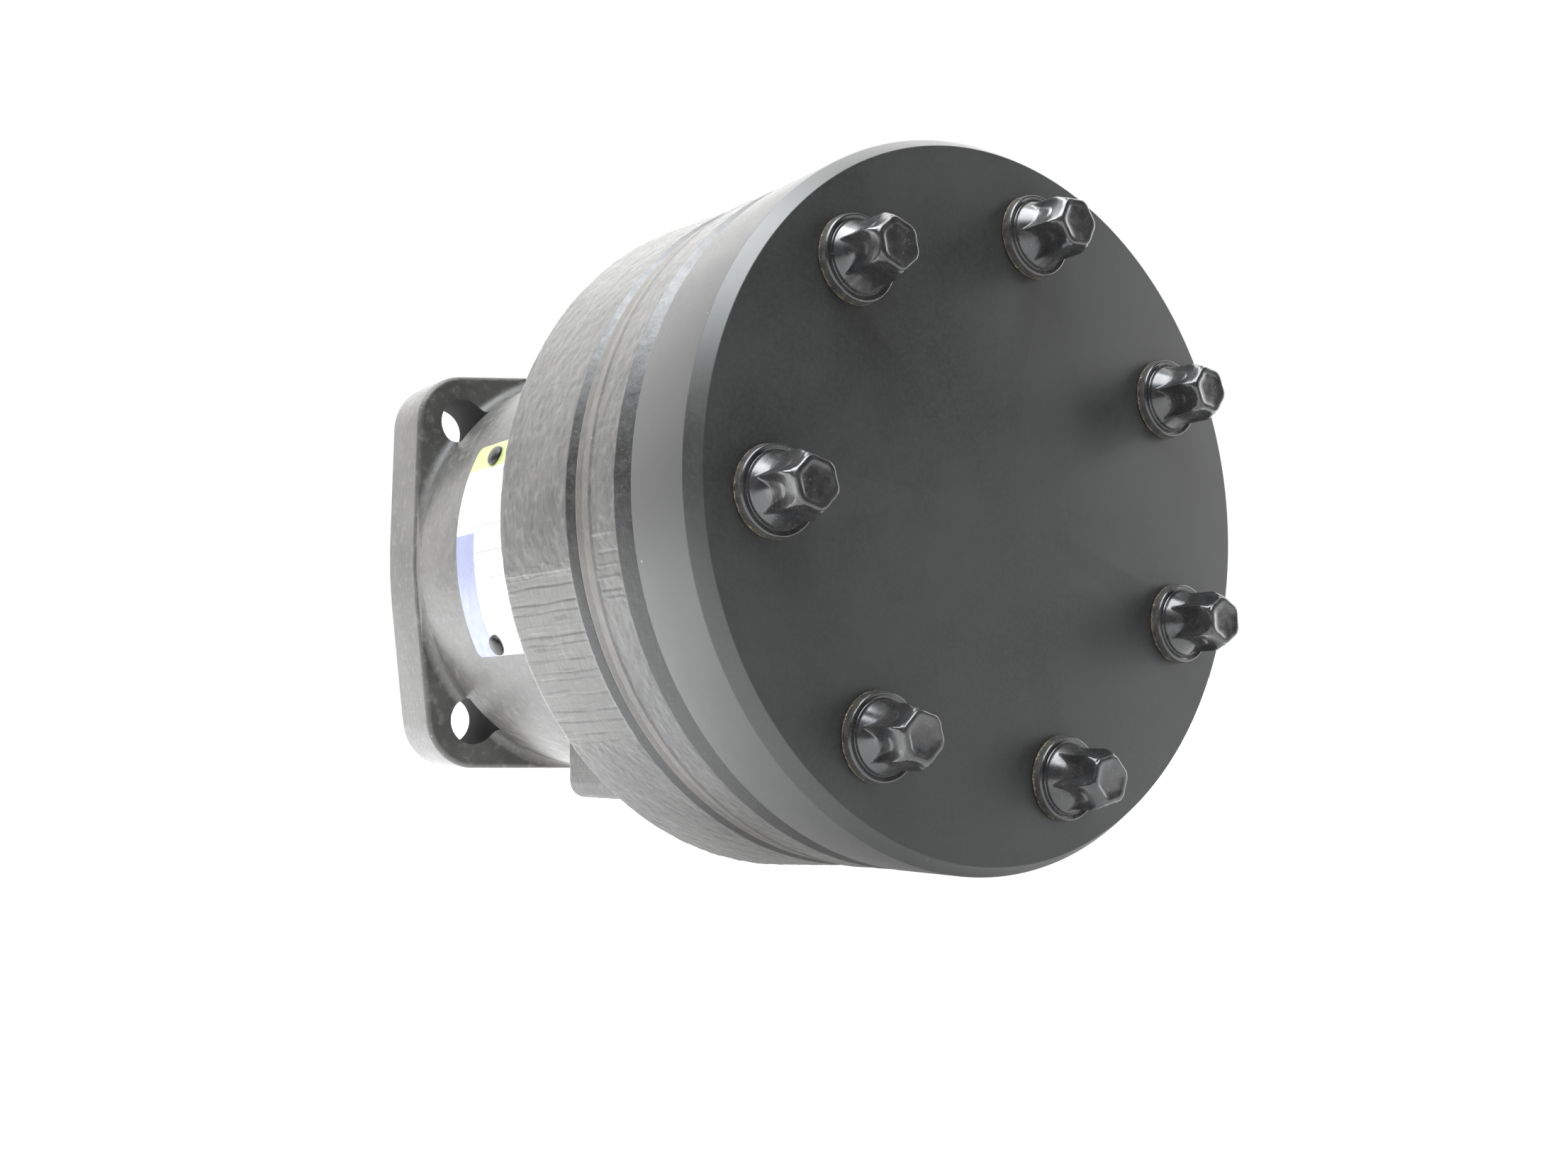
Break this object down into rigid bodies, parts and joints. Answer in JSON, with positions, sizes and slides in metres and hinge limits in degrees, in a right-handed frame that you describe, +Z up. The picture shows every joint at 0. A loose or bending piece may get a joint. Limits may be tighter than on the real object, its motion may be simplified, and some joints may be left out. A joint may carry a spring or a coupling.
{
  "type": "hydraulic motor",
  "caption": "Low-speed orbital hydraulic motor: round roller-ring stack with flanged six-lobe cap bolts, cast neck, square mounting flange and a parallel keyed output shaft.",
  "frame": {"origin": "centre of the mounting face of the square flange, on the shaft axis", "axes": "+X out along the output shaft, away from the end cap; +Z up, away from the two ports on the underside; +Y to the side that carries the nameplate"},
  "size_m": [0.2362, 0.1428, 0.1432],
  "materials": {
    "cap_paint": "satin charcoal paint over machined steel",
    "cast_paint": "thin dark grey paint over rough cast and turned iron",
    "bolt_black": "glossy black over forged steel, dusty on the head flange",
    "ground_steel": "ground, oiled",
    "turned_steel": "turned, oiled",
    "bearing_steel": "polished bearing steel",
    "seal_rubber": "matt nitrile rubber",
    "plug_steel": "black oxide",
    "nameplate": "printed white foil with a green end and a blue band"
  },
  "bodies": {
    "root": {"housing": "cast_paint", "end_cap": "cap_paint", "geroler_ring": "cast_paint", "spacer_plate": "cast_paint", "cap_bolt_1": "bolt_black", "cap_bolt_2": "bolt_black", "cap_bolt_3": "bolt_black", "cap_bolt_4": "bolt_black", "cap_bolt_5": "bolt_black", "cap_bolt_6": "bolt_black", "cap_bolt_7": "bolt_black", "seal_ring_cap": "seal_rubber", "seal_ring_rotor": "seal_rubber", "seal_ring_housing": "seal_rubber", "nameplate": "nameplate", "nameplate_rivet_1": "plug_steel", "nameplate_rivet_2": "plug_steel", "front_bearing_cup": "bearing_steel", "thrust_race_front": "bearing_steel", "shaft_seal": "seal_rubber", "seal_backup_washer": "turned_steel", "seal_retaining_ring": "plug_steel", "dust_seal": "seal_rubber", "case_drain_plug": "plug_steel"},
    "shaft": {"output_shaft": "ground_steel", "shaft_key": "turned_steel", "thrust_race_rear": "bearing_steel"},
    "orbit_carrier": {"drive_spacer": "turned_steel"},
    "star": {"rotor_star": "ground_steel"},
    "drive": {"cardan_drive": "turned_steel"},
    "thrust_cage": {"thrust_bearing": "bearing_steel"},
    "needle_cage": {"front_bearing_rollers": "bearing_steel"},
    "roller_1": {"roller_1": "ground_steel"},
    "roller_2": {"roller_2": "ground_steel"},
    "roller_3": {"roller_3": "ground_steel"},
    "roller_4": {"roller_4": "ground_steel"},
    "roller_5": {"roller_5": "ground_steel"},
    "roller_6": {"roller_6": "ground_steel"},
    "roller_7": {"roller_7": "ground_steel"}
  },
  "joints": [
    {"name": "shaft_spin", "type": "hinge", "parent": "root", "child": "shaft", "pos_m": [0, 0, 0], "axis": [1, 0, 0], "continuous": true},
    {"name": "rotor_orbit", "type": "hinge", "parent": "root", "child": "orbit_carrier", "pos_m": [-0.14085, 0, 0], "axis": [1, 0, 0], "continuous": true},
    {"name": "star_spin", "type": "hinge", "parent": "orbit_carrier", "child": "star", "pos_m": [-0.14085, -0.003, 0], "axis": [1, 0, 0], "continuous": true},
    {"name": "drive_spin", "type": "hinge", "parent": "orbit_carrier", "child": "drive", "pos_m": [-0.084, 0, 0], "axis": [0.9985, 0.0547, 0], "continuous": true},
    {"name": "thrust_cage_spin", "type": "hinge", "parent": "root", "child": "thrust_cage", "pos_m": [-0.0587, 0, 0], "axis": [1, 0, 0], "continuous": true},
    {"name": "needle_cage_spin", "type": "hinge", "parent": "root", "child": "needle_cage", "pos_m": [-0.04, 0, 0], "axis": [1, 0, 0], "continuous": true},
    {"name": "roller_1_spin", "type": "hinge", "parent": "root", "child": "roller_1", "pos_m": [-0.14085, 0.03334, 0.01605], "axis": [1, 0, 0], "continuous": true},
    {"name": "roller_2_spin", "type": "hinge", "parent": "root", "child": "roller_2", "pos_m": [-0.14085, 0.00823, 0.03607], "axis": [1, 0, 0], "continuous": true},
    {"name": "roller_3_spin", "type": "hinge", "parent": "root", "child": "roller_3", "pos_m": [-0.14085, -0.02307, 0.02893], "axis": [1, 0, 0], "continuous": true},
    {"name": "roller_4_spin", "type": "hinge", "parent": "root", "child": "roller_4", "pos_m": [-0.14085, -0.037, 0], "axis": [1, 0, 0], "continuous": true},
    {"name": "roller_5_spin", "type": "hinge", "parent": "root", "child": "roller_5", "pos_m": [-0.14085, -0.02307, -0.02893], "axis": [1, 0, 0], "continuous": true},
    {"name": "roller_6_spin", "type": "hinge", "parent": "root", "child": "roller_6", "pos_m": [-0.14085, 0.00823, -0.03607], "axis": [1, 0, 0], "continuous": true},
    {"name": "roller_7_spin", "type": "hinge", "parent": "root", "child": "roller_7", "pos_m": [-0.14085, 0.03334, -0.01605], "axis": [1, 0, 0], "continuous": true}
  ],
  "couplings": [
    {"joint": "rotor_orbit", "follows": "shaft_spin", "ratio": -6},
    {"joint": "star_spin", "follows": "shaft_spin", "ratio": 7},
    {"joint": "drive_spin", "follows": "shaft_spin", "ratio": 7},
    {"joint": "thrust_cage_spin", "follows": "shaft_spin", "ratio": 0.5},
    {"joint": "needle_cage_spin", "follows": "shaft_spin", "ratio": 0.456}
  ]
}
